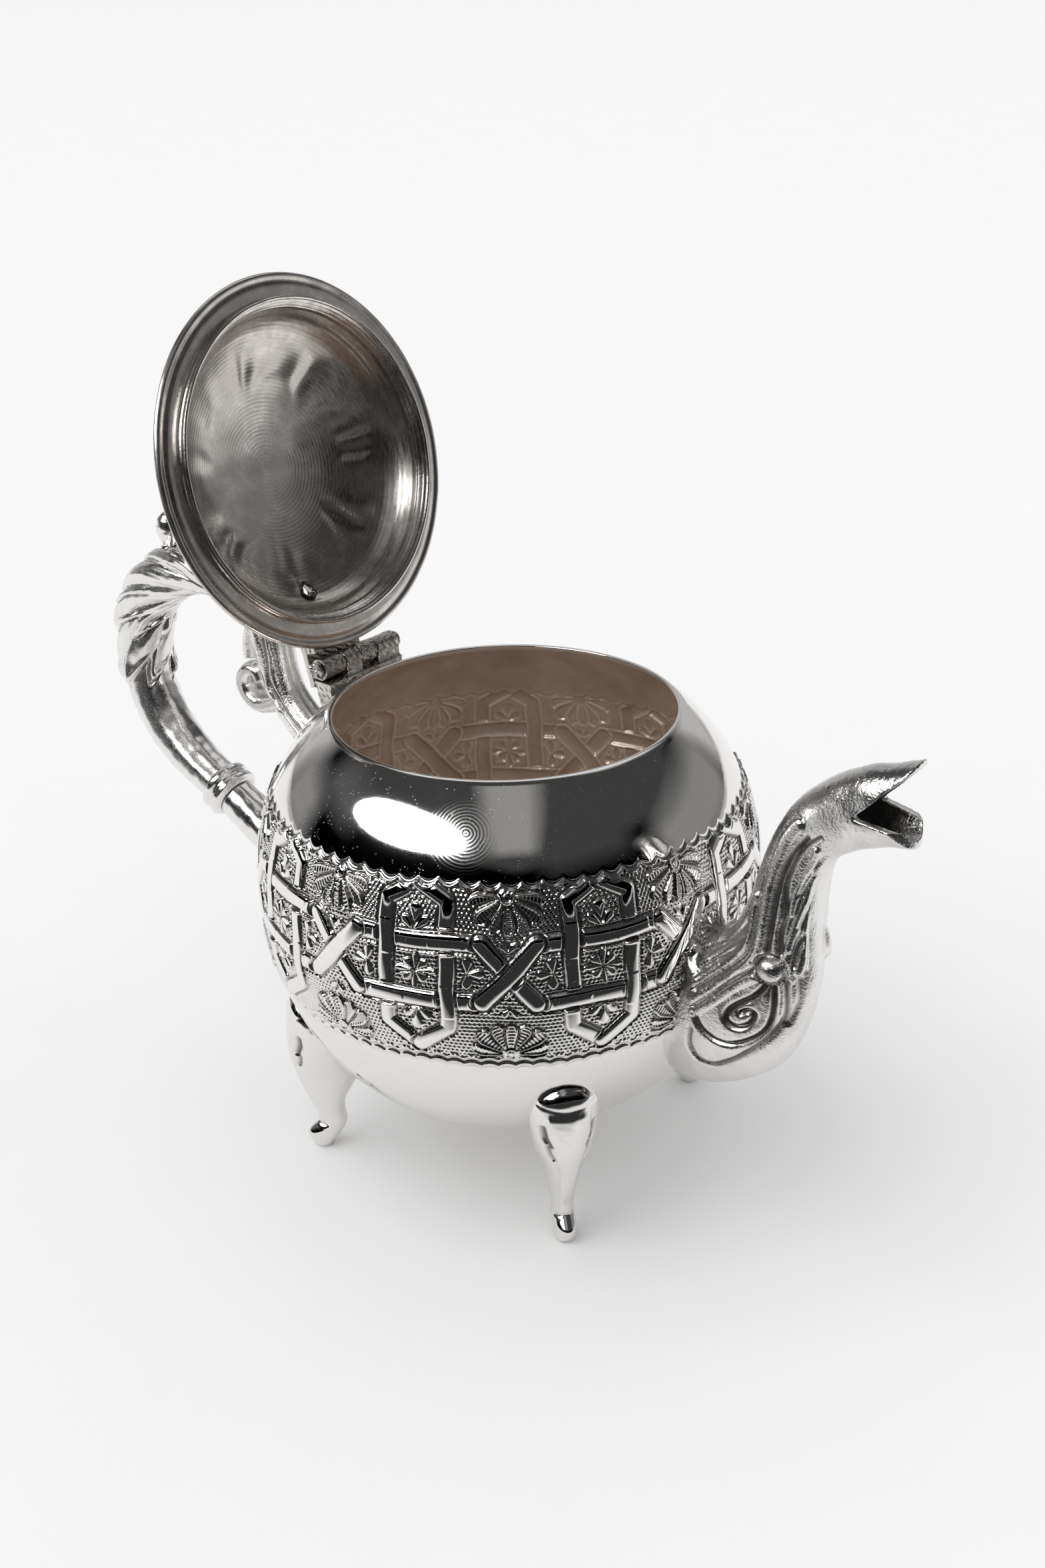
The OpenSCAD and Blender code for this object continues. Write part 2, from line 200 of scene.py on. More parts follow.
def bandHeight(angle, z):
    # relief of the chased band in mm, at polar angle in degrees and height z
    b = band
    pitch = 360 / b["repeats"]
    warp = 0.16 * np.sin(np.radians(angle * 7 + 20)) + 0.10 * np.sin(np.radians(angle * 13))
    zz = z + warp * 0.8 + 0.12 * np.sin(np.radians(angle * 17 + z * 9))
    phi = (angle - b["firstHexagon"] + pitch / 2) % pitch - pitch / 2
    perDegree = np.radians(1) * bowl["radius"]
    x = phi * perDegree + 0.12 * np.sin(z * 0.7 + angle * 0.11)
    half = pitch / 2 * perDegree
    mirrored = np.abs(x)
    xc = np.where(x > 0, x - half, x + half)          # from the centre of the crossing
    # beaded ground, rows staggered
    p = b["beadPitch"]
    row = np.round(zz / (p * 0.88))
    shift = np.where(row % 2 == 0, 0, 0.5)
    cx = (x / p - shift) - np.round(x / p - shift)
    cz = zz / (p * 0.88) - row
    height = b["bead"] * np.clip(1 - (cx ** 2 + cz ** 2) / 0.15, 0, 1) ** 0.5
    # fans at the two borders over each crossing
    for side in (1, -1):
        zb = 70.3 if side > 0 else 42.6
        w = side * (zz - zb)
        for turn, length, width in ((-80, 6.4, 1.35), (80, 6.4, 1.35), (-52, 6.9, 1.5), (52, 6.9, 1.5),
                                    (-25, 6.3, 1.25), (25, 6.3, 1.25), (0, 6.0, 1.05)):
            height = petal(height, xc, w, (0, 0), -90 + turn, length, width, 0.55, ladder=0.09, rim=0.2)
        r = np.hypot(xc, w - 0.1)
        height = np.where(r < 1.5, np.where(r < 0.55, 0.42, 0.18) + 0.34 * np.exp(-((r - 0.95) / 0.22) ** 2), height)
        for turn in (-38, 38):
            height = petal(height, xc, w, (0, -8.8), 90 + turn, 2.0, 0.62, 0.34)
    # rosette in the middle cell
    for k in range(4):
        height = petal(height, x, zz, (0, 57.45), 45 + 90 * k, 2.6, 0.95, 0.5)
        height = petal(height, x, zz, (0, 57.45), 90 * k, 3.4, 0.62, 0.4)
    # trefoils: top and bottom cells, then the two side cells
    for side in (1, -1):
        base = (0, 64.4) if side > 0 else (0, 50.6)
        for turn in (-48, 48):
            height = petal(height, x, zz, base, 90 * side + turn, 3.0, 0.85, 0.4)
        tip = petal(height * 0, x, zz, (0, base[1] + side * 1.3), 90 * side, 2.9, 1.15, 0.42)
        height = np.where(tip > 0, tip, height)
        for turn in (-90, 0, 90):
            height = petal(height, mirrored, zz, (8.5, 57.45), turn, 2.7, 0.9, 0.4)
    # straps, first all of them, then the pieces that pass over
    h, s, rise = b["hexagonHalf"], b["strapHalf"], b["relief"]
    up, down = b["upperStrap"], b["lowerStrap"]
    corner = half - b["crossHalf"]
    for sx in (-1, 1):
        distance = np.minimum(strap(x, zz, (sx * h, b["keelShoulder"]), (sx * h, b["roofShoulder"]), s),
                              strap(x, zz, (sx * h, b["roofShoulder"]), (0, b["roof"]), s))
        distance = np.minimum(distance, strap(x, zz, (sx * h, b["keelShoulder"]), (0, b["keel"]), s))
        height = laid(height, distance, s, rise)
    for level in (up, down):
        height = laid(height, strap(x, zz, (-corner, level), (corner, level), s), s * 1.1, rise)
    rising = strap(xc, zz, (-b["crossHalf"], down), (b["crossHalf"], up), s)
    falling = strap(xc, zz, (-b["crossHalf"], up), (b["crossHalf"], down), s)
    height = laid(height, falling, s * 1.1, rise)
    height = laid(height, rising, s * 1.1, rise * 1.05)
    over = 2.9
    height = laid(height, strap(x, zz, (-h, up - over), (-h, up + over), s, True), s, rise * 1.12)
    height = laid(height, strap(x, zz, (h, down - over), (h, down + over), s, True), s, rise * 1.12)
    height = laid(height, strap(x, zz, (h - over, up), (h + over, up), s, True), s * 1.1, rise * 1.12)
    height = laid(height, strap(x, zz, (-h - over, down), (-h + over, down), s, True), s * 1.1, rise * 1.12)
    # scalloped borders, two chains above and two below
    for z0, pitchMm, drop, thick, tall, sign in ((73.5, 3.61, 1.0, 0.26, 0.34, 1), (72.1, 3.61, 0.9, 0.22, 0.24, 1),
                                                 (41.0, 2.91, 0.55, 0.17, 0.22, -1), (39.7, 2.91, 0.55, 0.17, 0.22, -1)):
        count = round(360 * perDegree / pitchMm)
        wave = np.abs(np.sin(np.radians(angle) * count / 2))
        line = z0 - sign * drop * wave ** 0.8
        near = np.abs(zz - line)
        inBorder = (zz > line - 0.2) if sign > 0 else (zz < line + 0.2)
        height = np.where(inBorder, 0.0, height)
        height = height + tall * np.exp(-(near / thick) ** 2) - 0.08 * np.exp(-((near - 0.6) / 0.22) ** 2)
    fade = step(b["low"] - 0.4, b["low"] + 0.3, z) * (1 - step(b["high"] - 0.3, b["high"] + 0.4, z))
    return height * fade


def softened(field, passes, axisZ=True):
    for _ in range(passes):
        field = (np.roll(field, 1, 1) + 2 * field + np.roll(field, -1, 1)) / 4
        if axisZ:
            up = np.vstack([field[1:], field[-1:]])
            down = np.vstack([field[:1], field[:-1]])
            field = (up + 2 * field + down) / 4
    return field


def makeBowl(materials, fine=0.16):
    b = bowl
    columns = int(round(2 * np.pi * b["radius"] / fine / 36)) * 36
    degrees = np.arange(columns) * 360 / columns
    angles = np.radians(degrees)
    bandRows = np.linspace(band["low"] - 0.6, band["high"] + 0.6, int((band["high"] - band["low"]) / fine))
    under = b["bellyZ"] - b["depth"] * np.sin(np.radians(np.linspace(90, 21, 40)))
    under = under[under < bandRows[0] - 0.3]
    above = np.linspace(bandRows[-1] + 0.4, b["mouthZ"] - 0.25, 26)
    rows = np.concatenate([under, bandRows, above])
    grid = bandHeight(degrees[None, :], bandRows[:, None])
    relief = np.zeros((len(rows), columns))
    relief[len(under):len(under) + len(bandRows)] = grid
    slope = np.gradient(bowlRadius(rows), rows)
    nr = 1 / np.sqrt(1 + slope ** 2)
    nz = -slope * nr
    outR = bowlRadius(rows)[:, None] + relief * nr[:, None]
    outZ = rows[:, None] + relief * nz[:, None]
    inner = 1.3 * softened(relief, 2)
    hollow = np.clip((softened(relief, 14) - relief - 0.02) / 0.26, 0, 1)
    hollow = np.clip(softened(hollow, 1) * 1.1, 0, 1)
    inR = bowlRadius(rows)[:, None] + (inner * 0.9 - b["wall"]) * nr[:, None]
    inZ = rows[:, None] + (inner * 0.9 - b["wall"]) * nz[:, None]
    inR[0], inZ[0] = 0.0, b["bellyZ"] - b["depth"] + b["wall"]
    outR[0], outZ[0] = 0.0, b["bellyZ"] - b["depth"]
    lip = [(b["mouthRadius"] + 0.10, b["mouthZ"] - 0.16), (b["mouthRadius"] - 0.12, b["mouthZ"] - 0.02),
           (b["mouthRadius"] - 0.45, b["mouthZ"]), (b["mouthRadius"] - 0.78, b["mouthZ"] - 0.02),
           (b["mouthRadius"] - 0.9, b["mouthZ"] - 0.16)]
    keep = inZ[:, 0] < b["mouthZ"] - 1.6
    R = np.concatenate([outR, np.array([[p[0]] for p in lip]) * np.ones((1, columns)), inR[keep][::-1]])
    Z = np.concatenate([outZ, np.array([[p[1]] for p in lip]) * np.ones((1, columns)), inZ[keep][::-1]])
    points = np.stack([R * np.cos(angles), R * np.sin(angles), Z], -1).reshape(-1, 3)
    faces = gridFaces(len(R), columns)
    inside = len(rows) + len(lip)
    which = np.where(np.arange(len(R) - 1) >= inside - 1, 1, 0).repeat(columns)
    deep = np.concatenate([hollow, np.zeros((len(lip), columns)), hollow[keep][::-1]])
    return meshFrom("bowl", points, faces, materials, which, deep=deep)


def material(name):
    m = bpy.data.materials.new(name)
    m.use_nodes = True
    return m, m.node_tree, m.node_tree.nodes["Principled BSDF"]


def grainOf(tree, coordinates, scale, detail=3, roughness=0.5, **more):
    return add(tree, "ShaderNodeTexNoise", {"Scale": scale, "Detail": detail, "Roughness": roughness, **more},
               Vector=coordinates).outputs["Fac"]


def ranged(tree, value, a, b, low, high):
    return add(tree, "ShaderNodeMapRange", {"From Min": a, "From Max": b, "To Min": low, "To Max": high},
               Value=value).outputs["Result"]


def mixed(tree, factor, a, b):
    # colour between two colours, either of which may be a socket
    node = add(tree, "ShaderNodeMix", {"data_type": "RGBA"})
    tree.links.new(factor, node.inputs[0])
    for socket, value in ((node.inputs[6], a), (node.inputs[7], b)):
        if isinstance(value, tuple):
            socket.default_value = value
        else:
            tree.links.new(value, socket)
    return node.outputs[2]


def calc(tree, operation, a, b):
    node = add(tree, "ShaderNodeMath", {"operation": operation})
    for socket, value in zip(node.inputs, (a, b)):
        if isinstance(value, (int, float)):
            socket.default_value = value
        else:
            tree.links.new(value, socket)
    return node.outputs[0]


def relieved(tree, shader, steps):
    # bump nodes one after another: (height socket, strength, depth in mm)
    normal = None
    for height, strength, depth in steps:
        bump = add(tree, "ShaderNodeBump", {"Strength": strength, "Distance": depth * 0.001}, Height=height)
        if normal:
            tree.links.new(normal, bump.inputs["Normal"])
        normal = bump.outputs["Normal"]
    tree.links.new(normal, shader.inputs["Normal"])


# mirror plate: clear reflections, dust specks and finger smears, tarnish down in the chasing
mirrorLook = dict(color="#efedeb", tarnish="#77716d", rough=0.06, smear=0.2, speck=0.45, speckPitch=0.42)


def mirrorPlate():
    k = mirrorLook
    m, tree, shader = material("mirrorPlate")
    place = add(tree, "ShaderNodeTexCoord").outputs["Object"]
    deep = add(tree, "ShaderNodeAttribute", {"attribute_name": "deep"}).outputs["Fac"]
    patches = ranged(tree, grainOf(tree, place, 70, 4), 0.52, 0.66, 0, 1)
    ridges = add(tree, "ShaderNodeTexWave", {"bands_direction": "DIAGONAL", "Scale": 700, "Distortion": 4, "Detail": 1,
                                             "Detail Scale": 0.6}, Vector=place).outputs["Fac"]
    smear = calc(tree, "MULTIPLY", patches, ranged(tree, ridges, 0.35, 0.75, 0.25, 1))
    thumb = add(tree, "ShaderNodeMapping", {"Location": (-0.0185, 0.0318, -0.0788)}, Vector=place).outputs[0]
    print_ = add(tree, "ShaderNodeTexWave", {"wave_type": "RINGS", "rings_direction": "SPHERICAL", "Scale": 560, "Distortion": 2.5},
                 Vector=thumb).outputs["Fac"]
    close = add(tree, "ShaderNodeTexGradient", {"gradient_type": "SPHERICAL"},
                Vector=add(tree, "ShaderNodeMapping", {"Scale": (140, 140, 140)}, Vector=thumb).outputs[0]).outputs["Fac"]
    smear = calc(tree, "MAXIMUM", smear, calc(tree, "MULTIPLY", ranged(tree, close, 0, 0.4, 0, 1.2), print_))
    specks = add(tree, "ShaderNodeTexVoronoi", {"Scale": 1000 / k["speckPitch"]}, Vector=place).outputs["Distance"]
    speck = ranged(tree, specks, 0.09, 0.15, 1, 0)
    rare = ranged(tree, grainOf(tree, place, 700, 1), 0.56, 0.6, 0, 1)
    speck = calc(tree, "MULTIPLY", speck, rare)
    rough = calc(tree, "ADD", k["rough"], calc(tree, "MULTIPLY", smear, k["smear"] * 0.6))
    rough = calc(tree, "ADD", rough, calc(tree, "MULTIPLY", speck, k["speck"]))
    rough = calc(tree, "ADD", rough, calc(tree, "MULTIPLY", deep, 0.22))
    color = mixed(tree, deep, linear(k["color"]), linear(k["tarnish"]))
    tree.links.new(color, shader.inputs["Base Color"])
    tree.links.new(rough, shader.inputs["Roughness"])
    shader.inputs["Metallic"].default_value = 1
    relieved(tree, shader, [(grainOf(tree, place, 55, 1), 0.25, 0.5), (speck, 0.3, 0.05),
                            (grainOf(tree, place, 1500, 2), 0.12, 0.02)])
    return m


# inside of the bowl: tinned and tea-stained, a warm dull brown that still shows the chasing from behind, its inner
# ridges painted lighter as a painted highlight
soakedLook = dict(color="#f0dfcf", stainAndShade="#a38c7a", rough=0.36, metal=0.35)


def soakedTin():
    k = soakedLook
    m, tree, shader = material("soakedTin")
    place = add(tree, "ShaderNodeTexCoord").outputs["Object"]
    height = add(tree, "ShaderNodeSeparateXYZ", Vector=place).outputs["Z"]
    hollow = add(tree, "ShaderNodeAttribute", {"attribute_name": "deep"}).outputs["Fac"]
    cloud = grainOf(tree, place, 90, 5, 0.6)
    # tea stain from the cloud, taken away where the chasing stands up as ridges inside: a painted highlight on those
    # ridges, painted shade around them
    stainAndShade = calc(tree, "SUBTRACT", ranged(tree, cloud, 0.35, 0.7, 0.25, 0.7), calc(tree, "MULTIPLY", hollow, 0.8))
    color = mixed(tree, stainAndShade, linear(k["color"]), linear(k["stainAndShade"]))
    rim = ranged(tree, height, 0.0815, 0.0845, 0, 0.5)
    color = mixed(tree, rim, color, linear("#c9bfb6"))
    tree.links.new(color, shader.inputs["Base Color"])
    tree.links.new(ranged(tree, cloud, 0.3, 0.7, k["rough"] - 0.08, k["rough"] + 0.1), shader.inputs["Roughness"])
    shader.inputs["Metallic"].default_value = k["metal"]
    relieved(tree, shader, [(grainOf(tree, place, 1400, 3), 0.35, 0.06)])
    return m


# cast and plated: bright high spots over a sandy sparkling skin, dark in the recesses
castLook = dict(color="#eceae8", dark="#45403c", pitch=0.5)


def castPlate(name="castPlate", sand=0.8, rough=0.15):
    k = castLook
    m, tree, shader = material(name)
    place = add(tree, "ShaderNodeTexCoord").outputs["Object"]
    deep = add(tree, "ShaderNodeAttribute", {"attribute_name": "deep"}).outputs["Fac"]
    skin = grainOf(tree, place, 1300 / k["pitch"], 3, 0.6)
    where = ranged(tree, grainOf(tree, place, 120, 2), 0.38, 0.6, 0.35, 1)
    color = mixed(tree, deep, linear(k["color"]), linear(k["dark"]))
    tree.links.new(color, shader.inputs["Base Color"])
    tree.links.new(calc(tree, "ADD", ranged(tree, skin, 0.3, 0.7, rough - 0.04, rough + 0.08),
                        calc(tree, "MULTIPLY", deep, 0.25)), shader.inputs["Roughness"])
    shader.inputs["Metallic"].default_value = 1
    relieved(tree, shader, [(calc(tree, "MULTIPLY", skin, where), sand, 0.16), (grainOf(tree, place, 90, 2), 0.2, 0.8)])
    return m


# sheet of the lid: spun, dulled grey-brown, circular lathe scratches
satinLook = dict(color="#cdc8c3", bright="#efeae6", rough=0.27, scratch=0.2)


def spunSheet():
    k = satinLook
    m, tree, shader = material("spunSheet")
    place = add(tree, "ShaderNodeTexCoord").outputs["Object"]
    parts = add(tree, "ShaderNodeSeparateXYZ", Vector=place)
    x, y = parts.outputs["X"], parts.outputs["Y"]
    radius = calc(tree, "SQRT", calc(tree, "ADD", calc(tree, "MULTIPLY", x, x), calc(tree, "MULTIPLY", y, y)), 0)
    turn = calc(tree, "ARCTAN2", y, x)
    around = add(tree, "ShaderNodeCombineXYZ", X=radius, Y=calc(tree, "MULTIPLY", turn, 0.0012)).outputs[0]
    lines = grainOf(tree, around, 5200, 4, 0.7)
    cloud = grainOf(tree, place, 95, 5, 0.62)
    broken = grainOf(tree, place, 420, 4, 0.7)
    worn = calc(tree, "MULTIPLY", ranged(tree, cloud, 0.44, 0.62, 0, 1), ranged(tree, broken, 0.4, 0.6, 0.2, 1))
    color = mixed(tree, worn, linear(k["color"]), linear(k["bright"]))
    tree.links.new(color, shader.inputs["Base Color"])
    tree.links.new(ranged(tree, lines, 0.3, 0.7, k["rough"] - 0.08, k["rough"] + 0.1), shader.inputs["Roughness"])
    shader.inputs["Metallic"].default_value = 1
    relieved(tree, shader, [(lines, k["scratch"], 0.06), (broken, 0.12, 0.12), (grainOf(tree, place, 75, 2), 0.2, 0.6)])
    return m


# hinge: filed steel-grey, cross-hatched marks that glint, painted black shade in the gaps and concave spots
filedLook = dict(color="#8f8a86", dark="#2e2a28", rough=0.3, pitch=0.28)


def filedMetal(name="filedMetal", color="#d2cdc8", rough=0.3, cut=0.5):
    k = filedLook
    m, tree, shader = material(name)
    place = add(tree, "ShaderNodeTexCoord").outputs["Object"]
    cavity = add(tree, "ShaderNodeNewGeometry").outputs["Pointiness"]
    marks = add(tree, "ShaderNodeTexWave", {"bands_direction": "DIAGONAL", "Scale": 150 / k["pitch"], "Distortion": 5,
                                            "Detail": 3, "Detail Scale": 1.6}, Vector=place).outputs["Fac"]
    cloud = grainOf(tree, place, 500, 4, 0.65)
    # painted shade: concave spots (low pointiness) darkened towards near black, plus random dark tone from the cloud
    deep = calc(tree, "ADD", ranged(tree, cavity, 0.40, 0.48, 0.7, 0), ranged(tree, cloud, 0.5, 0.75, 0, 0.35))
    tree.links.new(mixed(tree, deep, linear(color), linear(k["dark"])), shader.inputs["Base Color"])
    tree.links.new(ranged(tree, cloud, 0.3, 0.7, rough - 0.1, rough + 0.12), shader.inputs["Roughness"])
    shader.inputs["Metallic"].default_value = 1
    relieved(tree, shader, [(marks, cut, 0.08), (cloud, 0.3, 0.1)])
    return m


# matt paper sweep: almost white, only a trace of tooth
def paperSweep():
    m, tree, shader = material("paperSweep")
    place = add(tree, "ShaderNodeTexCoord").outputs["Object"]
    tooth = grainOf(tree, place, 40, 3)
    tree.links.new(mixed(tree, tooth, linear("#f5f5f5"), linear("#f3f3f3")), shader.inputs["Base Color"])
    shader.inputs["Roughness"].default_value = 0.95
    shader.inputs["Specular IOR Level"].default_value = 0.1
    return m


mirror, soaked, cast, spun = mirrorPlate(), soakedTin(), castPlate(), spunSheet()
dressed = castPlate("dressedCast", sand=0.16, rough=0.22)
filed, wire = filedMetal(), filedMetal("peenedWire", "#b9b4b0", 0.22, 0.2)

upright = Matrix.Translation((potAxis, 0, 0))
hinge = dict(x=-35.9, z=86.3, open=105.6)
pivot = Matrix.Translation((hinge["x"] / 1000, 0, hinge["z"] / 1000))
raised = upright @ pivot @ Matrix.Rotation(-np.radians(hinge["open"]), 4, "Y") @ pivot.inverted()


def finished(obj, node, body, place=upright):
    obj.matrix_world = place
    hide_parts(node)
    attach(obj, body)
    print(obj.name, len(obj.data.vertices))
    return obj


finished(makeBowl([mirror, soaked], 0.16), "body_shell", "pot")


def fairCurve(rows, steps):
    rows = np.asarray(rows, float)
    out = []
    for i in range(len(rows) - 1):
        a, b, c, d = rows[max(i - 1, 0)], rows[i], rows[i + 1], rows[min(i + 2, len(rows) - 1)]
        t = np.linspace(0, 1, steps, endpoint=False)[:, None]
        out.append(0.5 * (2 * b + (c - a) * t + (2 * a - 5 * b + 4 * c - d) * t * t + (3 * b - a - 3 * c + d) * t ** 3))
    return np.vstack(out + [rows[-1:]])


def bar(rows, steps, sides, relief=None, thinner=0.0, ends=True):
    # oval section (x, z, half thickness, half width) swept along a curve, relief(length in mm, turn) added
    c = fairCurve(rows, steps)
    heading = np.gradient(c[:, :2], axis=0)
    heading /= np.linalg.norm(heading, axis=1)[:, None]
    s = np.concatenate([[0], np.cumsum(np.hypot(*np.diff(c[:, :2], axis=0).T))])
    turn = np.arange(sides) * 2 * np.pi / sides
    more = relief(s[:, None], turn[None, :], s[-1]) if relief else 0
    u = (c[:, 2:3] - thinner) * np.cos(turn) + more * np.cos(turn)
    v = (c[:, 3:4] - thinner) * np.sin(turn) + more * np.sin(turn)
    x = c[:, 0:1] - u * heading[:, 1:2]
    z = c[:, 1:2] + u * heading[:, 0:1]
    points = np.stack([x, v, z], -1)
    if ends:
        first, last = points[:1].mean(1, keepdims=True), points[-1:].mean(1, keepdims=True)
        points = np.concatenate([np.repeat(first, sides, 1), points, np.repeat(last, sides, 1)])
    return points.reshape(-1, 3), gridFaces(len(points), sides)


def asTriangles(faces):
    faces = np.asarray(faces)
    return faces if faces.shape[1] == 3 else np.vstack([faces[:, [0, 1, 2]], faces[:, [0, 2, 3]]])


def cadPart(node, place=upright):
    # the node's own mesh in mm, in the piece's frame
    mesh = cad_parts[node].data
    mesh.calc_loop_triangles()
    points = np.empty(len(mesh.vertices) * 3)
    mesh.vertices.foreach_get("co", points)
    tris = np.empty(len(mesh.loop_triangles) * 3, np.int32)
    mesh.loop_triangles.foreach_get("vertices", tris)
    back = np.array(place.inverted())
    return (points.reshape(-1, 3) @ back[:3, :3].T + back[:3, 3]) * 1000, tris.reshape(-1, 3)


def readMesh(mesh):
    points = np.empty(len(mesh.vertices) * 3)
    mesh.vertices.foreach_get("co", points)
    normals = np.empty(len(mesh.vertices) * 3)
    mesh.vertex_normals.foreach_get("vector", normals)
    return points.reshape(-1, 3) * 1000, normals.reshape(-1, 3)


def eased(values, quads, passes):
    # each vertex moved halfway to the mean of its neighbours
    a = quads.ravel()
    b = quads[:, [1, 2, 3, 0]].ravel()
    for _ in range(passes):
        total = np.stack([np.bincount(a, values[b, i], len(values)) + np.bincount(b, values[a, i], len(values))
                          for i in range(values.shape[1])], -1)
        count = np.bincount(a, minlength=len(values)) + np.bincount(b, minlength=len(values))
        values = (values + total / np.maximum(count, 1)[:, None]) / 2
    return values


def fused(name, parts, voxel, smoothing, relief, materials, cutters=(), keepOut=True):
    # closed pieces melted into one skin, smoothed, given relief(points, normals) in mm, opened where they meet the bowl
    count, allPoints, allFaces = 0, [], []
    for points, faces in parts:
        allPoints.append(points)
        allFaces.append(asTriangles(faces) + count)
        count += len(points)
    rough = meshFrom(name + "Rough", np.vstack(allPoints), np.vstack(allFaces), [])
    knives = [meshFrom(name + "Knife", points, faces, []) for points, faces in cutters]
    for knife in knives:
        cut = rough.modifiers.new("cut", "BOOLEAN")
        cut.operation, cut.solver, cut.object = "DIFFERENCE", "EXACT", knife
    melt = rough.modifiers.new("melt", "REMESH")
    melt.mode, melt.voxel_size = "VOXEL", voxel * 0.001 * 1
    ease = rough.modifiers.new("ease", "SMOOTH")
    ease.factor, ease.iterations = 0.5, smoothing
    bpy.context.view_layer.update()
    skin = bpy.data.meshes.new_from_object(rough.evaluated_get(bpy.context.evaluated_depsgraph_get()))
    points, normals = readMesh(skin)
    quads = np.empty(len(skin.loops), np.int32)
    skin.loops.foreach_get("vertex_index", quads)
    quads = quads.reshape(-1, 4)
    height = relief(points, normals)
    points = eased(points + normals * height[:, None], quads, 1)
    deep = eased(np.clip(-height * 1.5 - 0.12, 0, 1)[:, None], quads, 2)[:, 0]
    if keepOut:
        r = np.hypot(points[:, 0], points[:, 1])
        z = points[:, 2]
        buried = (r < bowlRadius(np.clip(z, 10.9, 84.9)) - 0.45) & (z > 11) & (z < 84.9)
        quads = quads[~buried[quads].all(1)]
        used = np.unique(quads)
        index = np.full(len(points), -1)
        index[used] = np.arange(len(used))
        points, deep, quads = points[used], deep[used], index[quads]
    bpy.data.objects.remove(rough)
    for knife in knives:
        bpy.data.objects.remove(knife)
    bpy.data.meshes.remove(skin)
    return meshFrom(name, points, quads, materials, deep=deep)


def near(points, path, reach=4.0):
    # distance in mm from each point, seen from the side, to a fair curve; far points stay at reach
    line = fairCurve([(*p, 0, 0) for p in path], 14)[:, :2]
    xz = points[:, [0, 2]]
    low, high = line.min(0) - reach, line.max(0) + reach
    at = np.where(((xz > low) & (xz < high)).all(1))[0]
    out = np.full(len(points), reach, float)
    d = line[1:] - line[:-1]
    length = (d ** 2).sum(1)
    for part in np.array_split(at, max(1, len(at) // 20000)):
        rel = xz[part][:, None, :] - line[None, :-1]
        t = np.clip((rel * d).sum(2) / length, 0, 1)
        gap = rel - t[..., None] * d
        out[part] = np.sqrt((gap ** 2).sum(2)).min(1)
    return out


def rounded(distance, half):
    return np.sqrt(np.clip(1 - (distance / half) ** 2, 0, 1))


def cutLine(distance, half):
    return np.exp(-(distance / half) ** 2)


def lumps(points, pitch, waves=10, seed=3):
    # soft irregular noise between about -1 and 1
    random = np.random.default_rng(seed)
    way = random.normal(size=(waves, 3))
    way *= (2 * np.pi / pitch) * random.uniform(0.6, 1.4, (waves, 1)) / np.linalg.norm(way, axis=1)[:, None]
    return np.sin(points @ way.T + random.uniform(0, 6.3, waves)).sum(1) / np.sqrt(waves / 2) / 1.6


def side(points, path, flip=1, axes=(0, 2)):
    # distance to a path drawn in another pair of axes
    swapped = np.zeros_like(points)
    swapped[:, 0], swapped[:, 2] = points[:, axes[0]] * flip, points[:, axes[1]]
    return near(swapped, path)


# spout: goose-headed casting, feathered neck over a scrolled foot
spout = dict(wall=1.3, voxel=0.19, smoothing=4,
             rows=[(37, 43.5, 15, 7.6), (42, 43.6, 16.4, 8.6), (49.5, 46.4, 13.8, 8.2), (55.4, 54, 9.4, 6.6),
                   (57.6, 63, 6.6, 5.8), (59.4, 72, 5.5, 5.2), (62.4, 79.2, 5.4, 4.8), (67.4, 84, 6, 5),
                   (73.6, 87.2, 6.5, 5.1), (78.4, 88.6, 6.7, 5), (83.4, 90.2, 7, 4.8)],
             corner=(71.8, 86.4), upper=(82.5, 97.6), lower=(82.5, 84.9), end=80.1)
ribs = [([(46, 47.6), (50.3, 52), (54.3, 55.8), (56.4, 59.2), (57.2, 64.4), (57.9, 71.4), (60, 78.6), (62.4, 82.6)], 1.15, 0.75),
        ([(46, 50.6), (49.4, 53.8), (52.8, 57.4), (54.4, 60.6), (54.9, 66)], 0.75, 0.4),
        ([(46, 45), (49.6, 48.4), (53, 51.8), (56.6, 54.6)], 0.8, 0.55),
        ([(55.4, 68), (52.6, 62.6), (49.4, 58.6), (45.6, 56)], 0.8, 0.5),
        ([(54.2, 60.4), (51, 57.6), (46, 53.4)], 0.6, 0.35),
        ([(65.6, 79), (64, 74.6), (62.2, 69.8), (61.6, 67)], 0.55, 0.6),
        ([(64.8, 73), (63.2, 68.4), (62, 63.6), (61.4, 60.6)], 0.55, 0.6),
        ([(64, 66), (63.4, 61), (62.8, 56.6)], 0.55, 0.55)]
